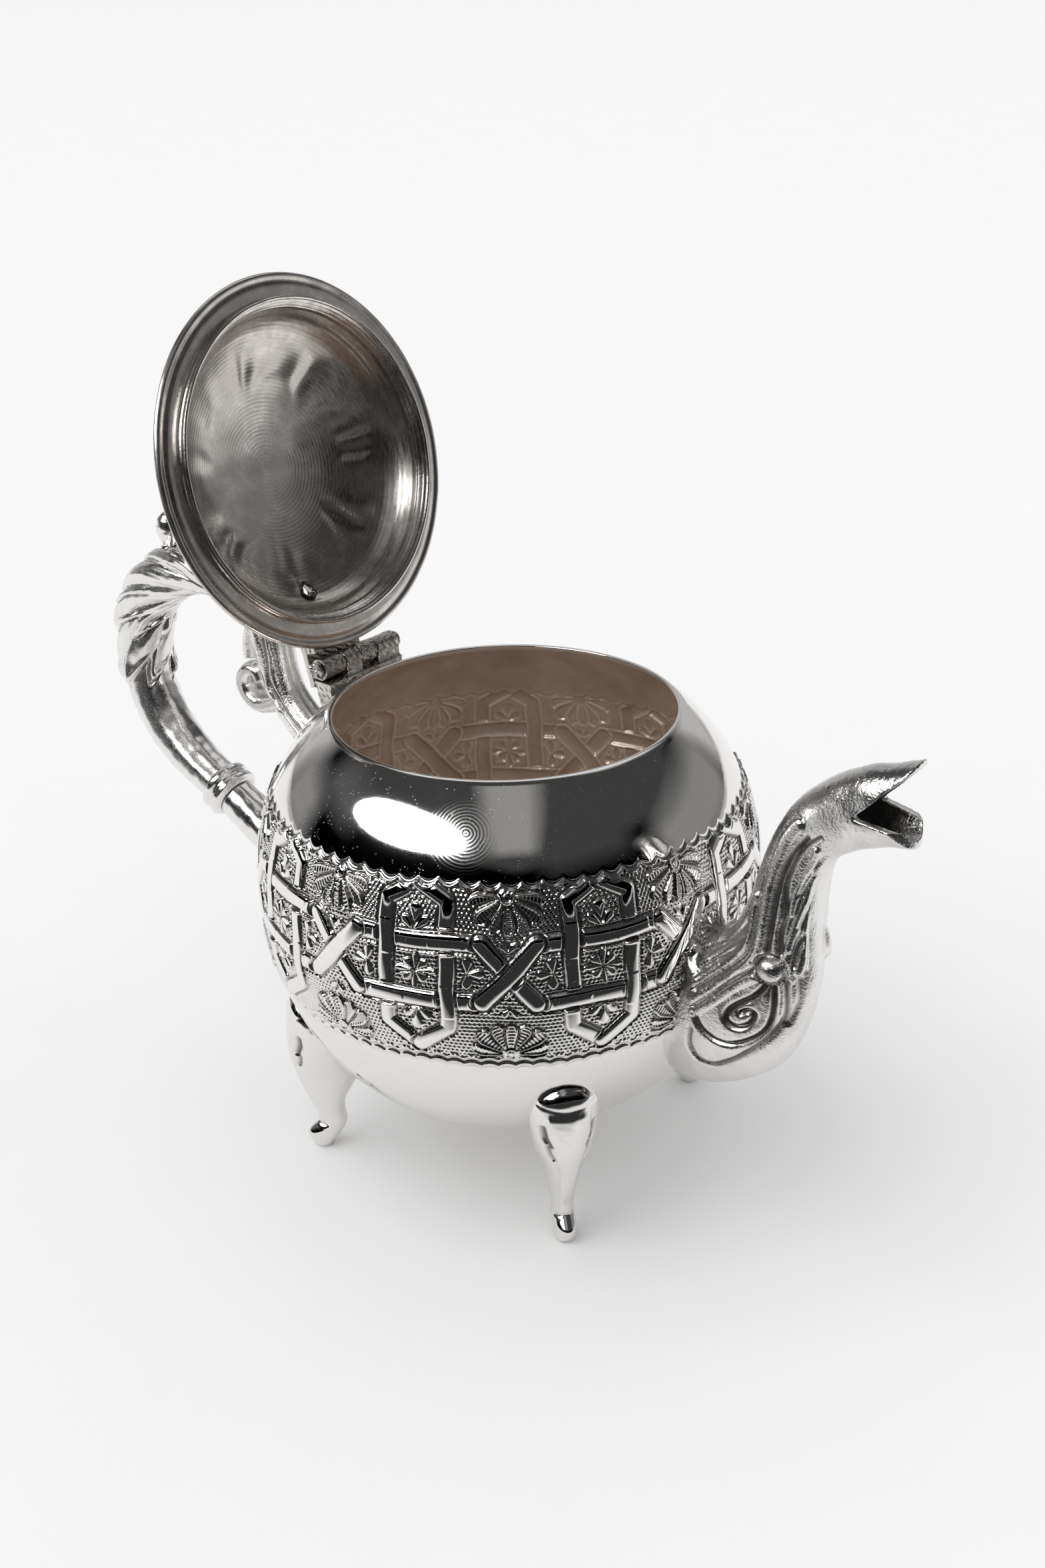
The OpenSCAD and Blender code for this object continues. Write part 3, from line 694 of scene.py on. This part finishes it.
furrows = [([(58.2, 58.8), (58.7, 64.7), (59.5, 70.7), (61.2, 76.4), (64, 80.6)], 0.5, 0.65),
           ([(60.6, 59.4), (60.3, 62.8), (61, 66.4), (60.8, 69.6), (61.2, 73.4), (63.4, 78.4), (66.4, 81.4)], 0.4, 0.6),
           ([(62.6, 70.4), (63.9, 74), (66.6, 77.6)], 0.3, 0.4), ([(62.6, 64.6), (63.7, 68.6), (65.6, 71.8)], 0.3, 0.4),
           ([(62.2, 57.6), (62.6, 61), (64.2, 65)], 0.3, 0.4),
           ([(58.4, 53.6), (57.6, 52.2), (56.2, 50.6), (54.4, 49.3), (52.7, 47.8), (51.8, 46.3), (52.4, 45.1), (54.1, 44.6),
             (56, 45.7), (56.7, 47.5), (55.7, 48.1), (54.5, 47.5)], 0.5, 0.85),
           ([(59.6, 53.8), (59.7, 50.4), (59.3, 47), (58.2, 44.6), (56, 42.5), (52.8, 40.9), (50, 41), (47.6, 42.4), (46, 45)], 0.5, 0.8),
           ([(45.4, 41.6), (45, 38.4), (46.4, 35.7), (49.4, 35.4), (53.4, 38), (57.3, 41.8), (60.2, 45.6), (61.4, 49), (61.5, 54.6)], 0.45, 0.6),
           ([(63.2, 55), (63, 50.6), (61.4, 46.4)], 0.4, 0.4),
           ([(46, 49.2), (50, 52.9), (53.6, 56.4), (55.4, 60), (55.9, 66), (56.6, 72)], 0.4, 0.5),
           ([(46, 46.4), (49.8, 50), (53.4, 53.6), (56.4, 56)], 0.35, 0.5)]


def spoutRelief(points, normals):
    flank = step(0.12, 0.5, np.abs(normals[:, 1]))
    outer = np.maximum(step(2.2, 3.2, np.abs(points[:, 1])) * flank, step(1.2, 2.4, np.abs(points[:, 1])) * (points[:, 0] < 53))
    outer = outer * (points[:, 0] < 71)
    h = np.zeros(len(points))
    for path, half, tall in ribs:
        h = np.maximum(h, tall * rounded(near(points, path), half))
    for path, half, deep in furrows:
        h = h - deep * cutLine(near(points, path), half)
    x, z = points[:, 0], points[:, 2]
    boss = np.hypot(x - 58.9, z - 56.4)
    h = np.where(boss < 2.9, np.where(boss < 2.1, 1.5 * rounded(boss, 2.1), -0.45), h)
    hem = np.interp(x, [59.5, 60.8, 62, 63.6, 64.5, 65.6, 67], [58, 57.4, 54, 57, 53.4, 55.2, 54])
    skirt = step(-0.15, 0.2, z - hem) * step(0, 1, (70 - z) / 12) * step(60.2, 61.2, x) * (x < 68)
    h = h + 0.55 * skirt
    return h * outer + 0.012 * lumps(points, 1.1) + 0.06 * lumps(points, 5, seed=5)


def prism(corners, half):
    corners = np.array(corners, float)
    n = len(corners)
    points = [(x, y, z) for y in (-half, half) for x, z in corners]
    tris = [(0, i, i + 1) for i in range(1, n - 1)] + [(n, n + i + 1, n + i) for i in range(1, n - 1)]
    for i in range(n):
        j = (i + 1) % n
        tris += [(i, n + i, n + j), (i, n + j, j)]
    return np.array(points), np.array(tris)


def makeSpout():
    s = spout
    sides = 96
    outside = bar(s["rows"], 10, sides, ends=False)[0]
    inside = bar(s["rows"], 10, sides, thinner=s["wall"], ends=False)[0].reshape(-1, sides, 3)[::-1].reshape(-1, 3)
    tube = np.vstack([outside, inside])
    across = np.linspace(-11, 11, 23)
    face = s["end"] + 0.5 - 0.13 * across ** 2
    slab = np.stack([np.stack([x, across, z + 0 * across], -1) for x, z in
                     ((face, 70), (face, 110), (100 + 0 * face, 110), (100 + 0 * face, 70))], 1).reshape(-1, 3)
    slabFaces = np.vstack([gridFaces(23, 4), [(3, 2, 1, 0), (88, 89, 90, 91)]])
    cuts = [prism([s["corner"], s["lower"], s["upper"]], 12), (slab, slabFaces)]
    return fused("spoutCast", [(tube, gridFaces(len(tube) // sides, sides, loop=True))], s["voxel"], s["smoothing"],
                 spoutRelief, [cast], cuts)


# foot: cabriole casting with a shield on the knee, slots at its sides and a small hoof
foot = dict(voxel=0.17, smoothing=3, turns=(-37, -132, 62, 147),
            rows=[(33, 37.2, 39.4, 1.3), (32.1, 35.9, 40.7, 3.4), (30.4, 34.7, 41.4, 5.1), (28, 33.4, 41.5, 5.9), (24.4, 31, 41.5, 6), (20, 29, 41.3, 5.2),
                  (16, 28.4, 40.3, 3.8), (12.8, 30.2, 39.3, 2.9), (9.6, 31.9, 38, 2.3), (7, 32, 37, 2),
                  (5, 31.8, 37.2, 2), (3, 32.6, 39.1, 2.05), (1.2, 34, 38.7, 1.9), (0.05, 34.9, 37.8, 1.6)])


def footRelief(points, normals):
    x, y, z = points.T
    h = 0.01 * lumps(points, 1.4) + 0.03 * lumps(points, 4, seed=8)
    front = step(0.1, 0.5, normals[:, 0])
    blade = np.interp(z, [4, 10, 16, 20, 24, 28], [1.1, 1.2, 1.5, 2.4, 3.6, 3.6])
    h = h + 0.3 * step(0.35, -0.35, np.abs(y) - blade) * front * step(4, 7, z) * step(29, 27, z)
    for path, half, deep in (([(4.5, 25.6), (4.2, 23.6), (3.2, 21.8)], 0.5, 0.6), ([(3.7, 21.4), (3.3, 20), (2.7, 19)], 0.4, 0.5)):
        for flip in (1, -1):
            h = h - deep * cutLine(side(points, path, flip, (1, 2)), half) * step(-0.1, 0.3, normals[:, 0])
    cap = 29.2 + 0.03 * y ** 2
    h = h - 0.07 * cutLine(z - cap, 0.35) * step(-0.4, 0.1, normals[:, 0])
    h = h - 0.25 * cutLine(z - 4.9 - 0.3 * (x - 36), 0.35) * front
    return h * step(0, 0.8, z)


def makeFoot(name):
    sides = 64
    rows = fairCurve(foot["rows"], 8)
    turn = np.arange(sides) * 2 * np.pi / sides
    ring = np.stack([(rows[:, 1:2] + rows[:, 2:3]) / 2 + (rows[:, 2:3] - rows[:, 1:2]) / 2 * np.cos(turn),
                     rows[:, 3:4] * np.sin(turn), rows[:, 0:1] + 0 * turn], -1)
    ring = np.concatenate([np.repeat(ring[:1].mean(1, keepdims=True), sides, 1), ring,
                           np.repeat(ring[-1:].mean(1, keepdims=True), sides, 1)])
    return fused(name, [(ring.reshape(-1, 3), gridFaces(len(ring), sides))], foot["voxel"], foot["smoothing"],
                 footRelief, [footCast])


# grip: plain stalk below, then two tiers of leaf tips and twisted flutes up over the arch
grip = dict(rows=[(-73.9, 49.4, 4.2, 4.4), (-78.2, 51.3, 4.2, 4.4), (-83.6, 54.2, 4.5, 4.7), (-89.2, 58.9, 4.8, 4.9),
                  (-93.1, 64.7, 4.9, 5), (-94.8, 71.4, 4.9, 5), (-94.5, 78.4, 5.2, 5.3), (-92.6, 85, 5.2, 5.2),
                  (-88.2, 90, 5.1, 5.1), (-82, 93.4, 4.7, 4.8), (-75, 95.4, 4.3, 4.4), (-68.2, 95, 4, 4.2)],
            lobes=6, twist=0.1, firstTier=29, secondTier=40, tip=6.5)


def gripRelief(s, turn, total):
    g = grip
    coil = turn + g["twist"] * (s - 30)
    k = np.abs(np.sin(coil * g["lobes"] / 2))
    j = np.abs(np.cos(coil * g["lobes"] / 2))
    h = 0.14 * np.cos(4 * turn + 0.4) * step(g["firstTier"] + 6, g["firstTier"], s)
    h = h + 0.05 * np.cos(9 * turn + 0.05 * s)
    for start, a, tall in ((g["firstTier"], k, 0.55), (g["secondTier"], j, 0.4)):
        tip = start + g["tip"] * (1 - a) ** 0.8
        leaf = step(-0.3, 0.9, s - tip)
        roll = np.exp(-((s - tip - 1.6) / 1.7) ** 2)
        h = h + leaf * (tall * (0.35 + 0.65 * a ** 0.7) + 0.7 * roll * a) - 0.25 * np.exp(-((s - tip + 0.6) / 0.5) ** 2)
    flute = np.abs(np.sin(coil * g["lobes"] / 2 + 0.5))
    h = h + step(g["firstTier"] + 7, g["firstTier"] + 13, s) * (1.0 * flute ** 0.6 - 1.05)
    h = h + 0.05 * np.cos(coil * 20) * step(36, 44, s)
    return h * step(0, 2, s)


def makeGrip():
    points, faces = bar(grip["rows"], 26, 200, gripRelief)
    smooth = bar(grip["rows"], 26, 200)[0]
    deep = np.clip(-np.sum((points - smooth) * (smooth - smooth.reshape(-1, 200, 3).mean(1).repeat(200, 0)), 1) / 3.4 - 0.1, 0, 1)
    points = points + 0.05 * lumps(points, 3)[:, None]
    return meshFrom("gripCast", points, faces[:, ::-1], [dressed], deep=deep)


# scroll: fluted stem with a volute and a looped prong under the arch
scroll = dict(voxel=0.18, smoothing=2,
              stem=[(-36, 61.4, 3.8, 4.6), (-44, 66, 3.6, 4.4), (-49.6, 69.8, 3.5, 4.1), (-53.8, 74.2, 3.6, 3.9),
                    (-56, 79.2, 3.9, 3.8), (-57.3, 84.4, 4.2, 3.9), (-59.4, 89.4, 4.4, 4), (-63.2, 93.2, 4.2, 4.1),
                    (-68.6, 95, 4, 4.2)],
              volute=[(-53.6, 74.6, 2.2, 3), (-57.4, 72, 1.9, 2.9), (-61, 71, 1.8, 2.9), (-63.8, 72.2, 1.8, 2.9),
                      (-65, 74.8, 1.9, 2.9), (-63.8, 77.2, 1.7, 2.8), (-61.8, 77.6, 1.4, 2.6), (-60.6, 75.8, 1.2, 2.4)],
              prong=[(-57.6, 91, 1.3, 2.4), (-61, 87.6, 1.4, 2.6), (-62.5, 83.6, 1.4, 2.6), (-62.7, 80.2, 1.3, 2.4)])


def stemFlutes(s, turn, total):
    return 0.42 * np.abs(np.cos(turn * 3.5)) ** 0.6 - 0.42 + 0 * s


def scrollRelief(points, normals):
    flank = step(0.3, 0.7, np.abs(normals[:, 1]))
    h = 0.012 * lumps(points, 1.5)
    h = h - 0.35 * cutLine(near(points, [(p[0], p[1]) for p in scroll["volute"]]), 0.9) * flank
    h = h - 0.5 * cutLine(near(points, [(-60.4, 88.6), (-61, 84), (-60.6, 80), (-59.2, 77)]), 0.4) * flank
    h = h - 0.5 * cutLine(near(points, [(-56.4, 87), (-55.6, 82), (-55, 77.6), (-51, 72.4), (-46, 68.6)]), 0.45) * flank
    h = h + 0.5 * cutLine(near(points, [(-57.8, 87), (-57.4, 82), (-56.4, 77.6), (-52.6, 72.4)]), 0.6) * flank
    return h


def makeScroll():
    k = scroll
    parts = [bar(k["stem"], 14, 112, stemFlutes), bar(k["volute"], 14, 64), bar(k["prong"], 12, 64)]
    return fused("scrollCast", parts, k["voxel"], k["smoothing"], scrollRelief, [cast])


# lid: spun sheet, beaded edge, hammered flutes round a flatter crown, one vent
lid = dict(edge=33.15, bead=0.65, flangeZ=85.1, flangeTop=86.0, domeRadius=26.6, step=2.4, rise=11.0, wall=0.9,
           vent=(-22.6, -2.6), ventRadius=1.0, flutes=17, columns=900)


def domeHeight(r):
    k = lid
    return k["flangeTop"] + k["step"] + (k["rise"] - k["step"]) * np.maximum(0, 1 - (r / k["domeRadius"]) ** 2) ** 0.62


def evenly(profile, pitch, passes):
    profile = np.array(profile, float)
    s = np.concatenate([[0], np.cumsum(np.hypot(*np.diff(profile, axis=0).T))])
    t = np.linspace(0, s[-1], int(s[-1] / pitch) + 2)
    out = np.stack([np.interp(t, s, profile[:, 0]), np.interp(t, s, profile[:, 1])], -1)
    for _ in range(passes):
        out[1:-1] = (out[:-2] + 2 * out[1:-1] + out[2:]) / 4
    return out


def makeLid():
    k = lid
    pitch = 0.22
    columns = k["columns"] // 1
    r = np.linspace(0, k["domeRadius"] * 0.9995, 120)
    dome = np.stack([r, domeHeight(r)], -1)
    bead = [(k["edge"] - k["bead"] + k["bead"] * np.cos(a), k["flangeZ"] + k["bead"] + k["bead"] * np.sin(a))
            for a in np.radians(np.arange(150, -105, -12))]
    outer = evenly(np.vstack([dome, [(k["domeRadius"] + 1.6, k["flangeTop"]), (31.7, k["flangeTop"])], bead[:12]]), pitch, 2)
    inner = [*bead[12:], (31.6, k["flangeZ"] + 0.35), (31.1, k["flangeZ"] + 0.05), (30.6, k["flangeZ"]), (28.0, k["flangeZ"])]
    under = dome[::-1] - (0, k["wall"])
    under[:, 0] *= 1 - 0.45 * k["wall"] / k["domeRadius"]
    inner = evenly(np.vstack([inner, under]), pitch, 2)
    profile = np.vstack([outer, inner])
    insideRow = len(outer)
    turn = np.arange(columns) * 2 * np.pi / columns
    radius, deg = profile[:, 0:1], turn[None, :]
    uneven = 0.10 * np.sin(3 * deg + 1) + 0.07 * np.sin(7 * deg + 2) + 0.012 * np.sin(radius * 0.9)
    wave = np.cos(k["flutes"] * (deg + uneven))
    strength = 0.5 + 0.35 * np.sin(3 * deg + 0.6) + 0.3 * np.sin(8 * deg + 1.2)
    span = step(13.5 + 2 * np.sin(5 * deg), 17.5, radius) * step(23.4, 20.2 + np.sin(9 * deg), radius)
    relief = 0.3 * strength * wave * span
    relief = relief + 0.05 * np.exp(-((radius - 23.9) / 0.6) ** 2)
    relief = relief + 0.012 * np.cos(radius * 9) * (radius < 26)
    x, y = radius * np.cos(deg), radius * np.sin(deg)
    for at, width, deep in (((-20.9, -4.6), 1.5, -0.5), ((-3, 5), 3, 0.14), ((4, -3), 4, 0.12), ((-22.6, -2.6), 2.3, 0.35)):
        relief = relief + deep * np.exp(-((x - at[0]) ** 2 + (y - at[1]) ** 2) / width ** 2)
    relief = relief * (radius < 26.2)
    relief = relief + 0.03 * lumps(np.stack([x, y, 0 * x], -1).reshape(-1, 3), 7).reshape(x.shape)
    relief[0] = relief[0].mean()
    relief[-1] = relief[-1].mean()
    points = np.stack([x, y, profile[:, 1:2] + relief], -1)
    faces = gridFaces(len(profile), columns)
    flat = points.reshape(-1, 3)
    middle = flat[faces].mean(1)
    gone = np.hypot(middle[:, 0] - k["vent"][0], middle[:, 1] - k["vent"][1]) < k["ventRadius"]
    which = (faces[:, 0] // columns >= insideRow - 6).astype(int)
    z = float(domeHeight(np.hypot(*k["vent"])))
    ring = np.array([(1.0, 0.25), (1.25, 0.3), (1.45, 0.1), (1.3, -0.2), (1.02, -0.5), (1.02, -0.9), (1.3, -1.15), (1.55, -1.25),
                     (1.35, -1.5), (1.0, -1.3), (0.92, -0.9), (0.92, -0.2)])
    a = np.arange(48) * 2 * np.pi / 48
    burr = 1 + 0.10 * np.sin(3 * a + 1) + 0.06 * np.sin(7 * a)
    eyelet = np.stack([k["vent"][0] + ring[:, 0:1] * np.cos(a) * burr, k["vent"][1] + ring[:, 0:1] * np.sin(a) * burr,
                       z + ring[:, 1:2] - 0.9 * (ring[:, 0:1] * np.cos(a)) * -0.7], -1)
    eyeletFaces = gridFaces(len(ring), 48, loop=True)
    allFaces = np.vstack([faces[~gone], eyeletFaces + len(flat)])
    which = np.concatenate([which[~gone], np.full(len(eyeletFaces), 2)])
    return meshFrom("lidSheet", np.vstack([flat, eyelet.reshape(-1, 3)]), allFaces, [mirror, spun, wire], which)


def makeBezel():
    profile = evenly([(28.75, 85.15), (28.8, 84.7), (28.62, 84.3), (28.8, 83.9), (28.78, 83.4), (28.45, 83.2), (28.15, 83.35),
                      (28.1, 83.6), (27.85, 83.75), (27.6, 83.95), (27.75, 84.25), (27.45, 84.5), (27.2, 84.75), (27.3, 85.0),
                      (27.0, 85.25), (26.9, 86.2)], 0.06, 1)
    columns = 720
    turn = np.arange(columns) * 2 * np.pi / columns
    r = profile[:, 0:1] + 0.02 * np.sin(23 * turn + profile[:, 1:2])
    points = np.stack([r * np.cos(turn), r * np.sin(turn), profile[:, 1:2] + 0 * turn], -1)
    return meshFrom("bezelRing", points.reshape(-1, 3), gridFaces(len(profile), columns), [bezelMetal])


# small turned and filed parts take the CAD shape, softened, with tool marks
def wornPart(name, node, voxel, smoothing, amount, pitch, metal, place=upright, extra=None):
    def relief(points, normals):
        h = amount * (lumps(points, pitch, seed=len(name)) - 1)
        return h + (extra(points, normals) if extra else 0)
    return fused(name, [cadPart(node, place)], voxel, smoothing, relief, [metal], keepOut=False)


def hingeFiling(points, normals):
    x, y, z = points.T
    level = step(0.5, 0.9, np.abs(normals[:, 2]))
    h = -0.09 * level * np.abs(np.sin(3.1 * (x + 0.5 * y))) - 0.05 * level * np.abs(np.sin(4.3 * (x - 0.8 * y)))
    return h + 0.04 * (np.sin(5 * z + y) - 1) * step(0.5, 0.9, np.abs(normals[:, 1]))


def knurled(points, normals):
    turn = np.arctan2(points[:, 1], points[:, 0])
    z = points[:, 2]
    return 0.28 * np.abs(np.cos(turn * 6)) ** 0.6 * step(100.5, 102, z) * step(109, 107.5, z)


def peened(points, normals):
    ends = step(-9.15, -9.3, points[:, 1])
    return ends * 0.12 * lumps(points, 1.0, seed=4)


footCast = castPlate("footCast", sand=0.05, rough=0.09)
bezelMetal = filedMetal("bezelMetal", "#e4e0dc", 0.22, 0.06)
brushed = castPlate("brushedPlate", sand=0.1, rough=0.17)

finished(makeSpout(), "spout", "pot")
for label, angle in zip(("front", "left", "right", "rear"), foot["turns"]):
    finished(makeFoot(label + "Foot"), "foot_" + label, "pot",
             upright @ Matrix.Rotation(np.radians(angle), 4, "Z"))
finished(makeGrip(), "handle_grip", "pot")
finished(makeScroll(), "handle_scroll", "pot")
finished(wornPart("collarRing", "handle_collar", 0.14, 3, 0.03, 2, brushed), "handle_collar", "pot")
finished(wornPart("socketStalk", "handle_socket", 0.18, 4, 0.05, 3, brushed), "handle_socket", "pot")
finished(wornPart("thumbBulb", "thumb_knob", 0.13, 4, 0.03, 2, brushed), "thumb_knob", "pot")
finished(wornPart("hingeBlock", "hinge_base", 0.12, 2, 0.04, 1.2, filed, extra=hingeFiling), "hinge_base", "pot")
finished(wornPart("pinRivet", "hinge_pin", 0.09, 3, 0.02, 0.9, wire, extra=peened), "hinge_pin", "pot")
finished(wornPart("thinWasher", "hinge_washer", 0.09, 1, 0.01, 1, filed), "hinge_washer", "pot")
finished(wornPart("lidLeaf", "hinge_lid_leaf", 0.11, 2, 0.03, 1.2, filed, raised, hingeFiling), "hinge_lid_leaf", "lid",
         raised)
finished(makeLid(), "lid_dome", "lid", raised)
finished(makeBezel(), "lid_bezel", "lid", raised)
finished(wornPart("finialBud", "lid_finial", 0.14, 3, 0.03, 2, cast, raised, knurled), "lid_finial", "lid",
         raised)
finished(wornPart("finialRing", "finial_collar", 0.14, 2, 0.02, 2, brushed, raised), "finial_collar", "lid",
         raised)

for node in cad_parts.values():
    for place in node.material_slots:
        place.material = dressed

# studio: white sweep in even light, a far broad source from the left for soft shadows, one soft light high at the left;
# dark ground, dim ceiling and grey cards only show in reflections
world = bpy.data.worlds.new("studio")
bpy.context.scene.world = world
world.use_nodes = True
world.node_tree.nodes["Background"].inputs["Color"].default_value = (1, 1, 1, 1)
world.node_tree.nodes["Background"].inputs["Strength"].default_value = 0.86
world.cycles_visibility.glossy = False
bpy.context.scene.view_settings.view_transform = "Standard"

floorObj = meshFrom("floor", [(-20000, -20000, 0), (20000, -20000, 0), (20000, 20000, 0), (-20000, 20000, 0)],
                    [(0, 1, 2, 3)], [paperSweep()], smooth=False)


def towards(azimuth, elevation, distance):
    a, e = np.radians([azimuth, elevation])
    return Vector((potAxis + distance * np.cos(a) * np.cos(e), distance * np.sin(a) * np.cos(e),
                   0.06 + distance * np.sin(e)))


def aimed(obj, azimuth, elevation, distance, roll=0):
    place = towards(azimuth, elevation, distance)
    turn = (place - Vector((potAxis, 0, 0.06))).to_track_quat("Z", "Y").to_matrix().to_4x4()
    obj.matrix_world = Matrix.Translation(place) @ turn @ Matrix.Rotation(np.radians(roll), 4, "Z")


def softbox(azimuth, elevation, distance, size, power, roll):
    data = bpy.data.lights.new("softbox", "AREA")
    data.shape = "ELLIPSE"
    data.size, data.size_y = size
    data.energy = power
    obj = bpy.data.objects.new("softbox", data)
    obj.visible_diffuse = False
    aimed(obj, azimuth, elevation, distance, roll)
    bpy.context.collection.objects.link(obj)


def farLight(azimuth, elevation, spread, strength):
    data = bpy.data.lights.new("farLight", "SUN")
    data.angle = np.radians(spread)
    data.energy = strength
    obj = bpy.data.objects.new("farLight", data)
    obj.visible_glossy = False
    aimed(obj, azimuth, elevation, 3)
    bpy.context.collection.objects.link(obj)


def cardFabric(name, glow, half, soft):
    # glow that fades out over the last stretch before each edge, sizes in metres
    m = bpy.data.materials.new(name)
    m.use_nodes = True
    tree = m.node_tree
    tree.nodes.clear()
    out = add(tree, "ShaderNodeOutputMaterial")
    place = add(tree, "ShaderNodeSeparateXYZ", Vector=add(tree, "ShaderNodeTexCoord").outputs["Object"])
    fades = [ranged(tree, calc(tree, "ABSOLUTE", place.outputs[axis], 0), size - soft, size, 1, 0)
             for axis, size in zip("XY", half)]
    mix = add(tree, "ShaderNodeMixShader")
    tree.links.new(calc(tree, "MULTIPLY", *fades), mix.inputs[0])
    tree.links.new(add(tree, "ShaderNodeBsdfTransparent").outputs[0], mix.inputs[1])
    tree.links.new(add(tree, "ShaderNodeEmission", {"Strength": glow}).outputs[0], mix.inputs[2])
    tree.links.new(mix.outputs[0], out.inputs["Surface"])
    return m


def card(name, azimuth, elevation, distance, size, glow, soft=0.15):
    w, h = size[0] / 2, size[1] / 2
    mm = [(-w * 1000, -h * 1000, 0), (w * 1000, -h * 1000, 0), (w * 1000, h * 1000, 0), (-w * 1000, h * 1000, 0)]
    obj = meshFrom(name, mm, [(0, 1, 2, 3)], [cardFabric(name, glow, (w, h), soft)], smooth=False)
    obj.visible_camera = obj.visible_diffuse = obj.visible_shadow = obj.visible_transmission = False
    if distance:
        aimed(obj, azimuth, elevation, distance)
    return obj


ground = card("darkGround", 0, 0, 0, (6, 6), 0.03, 0.04)
ground.matrix_world = upright @ Matrix.Rotation(np.radians(40.73 - 180), 4, "Z") @ Matrix.Translation((0, 3.07, 0.0004))
card("dimCeiling", 0, 90, 2.6, (9, 9), 0.05, 1.0)
farLight(-125, 50, 60, 0.78)
softbox(-109, 40, 1.3, (1.36, 0.52), 12, 8)
card("zenithStrip", -47, 60, 1.3, (0.66, 1.35), 0.3, 0.18)
card("frontPanel", -10, 34, 1.5, (1.5, 0.9), 0.05, 0.35)
card("leftPanel", -152, 30, 1.5, (1.2, 0.8), 0.10, 0.35)
card("backWall", 131, 14, 1.9, (4.2, 1.8), 0.5, 0.6)
card("rightWall", 56, 12, 1.7, (2.4, 1.4), 0.25, 0.5)
card("overBack", 125, 56, 1.6, (1.7, 1.1), 0.8, 0.3)
card("leftWall", -172, 8, 1.7, (1.2, 1.1), 0.26, 0.4)
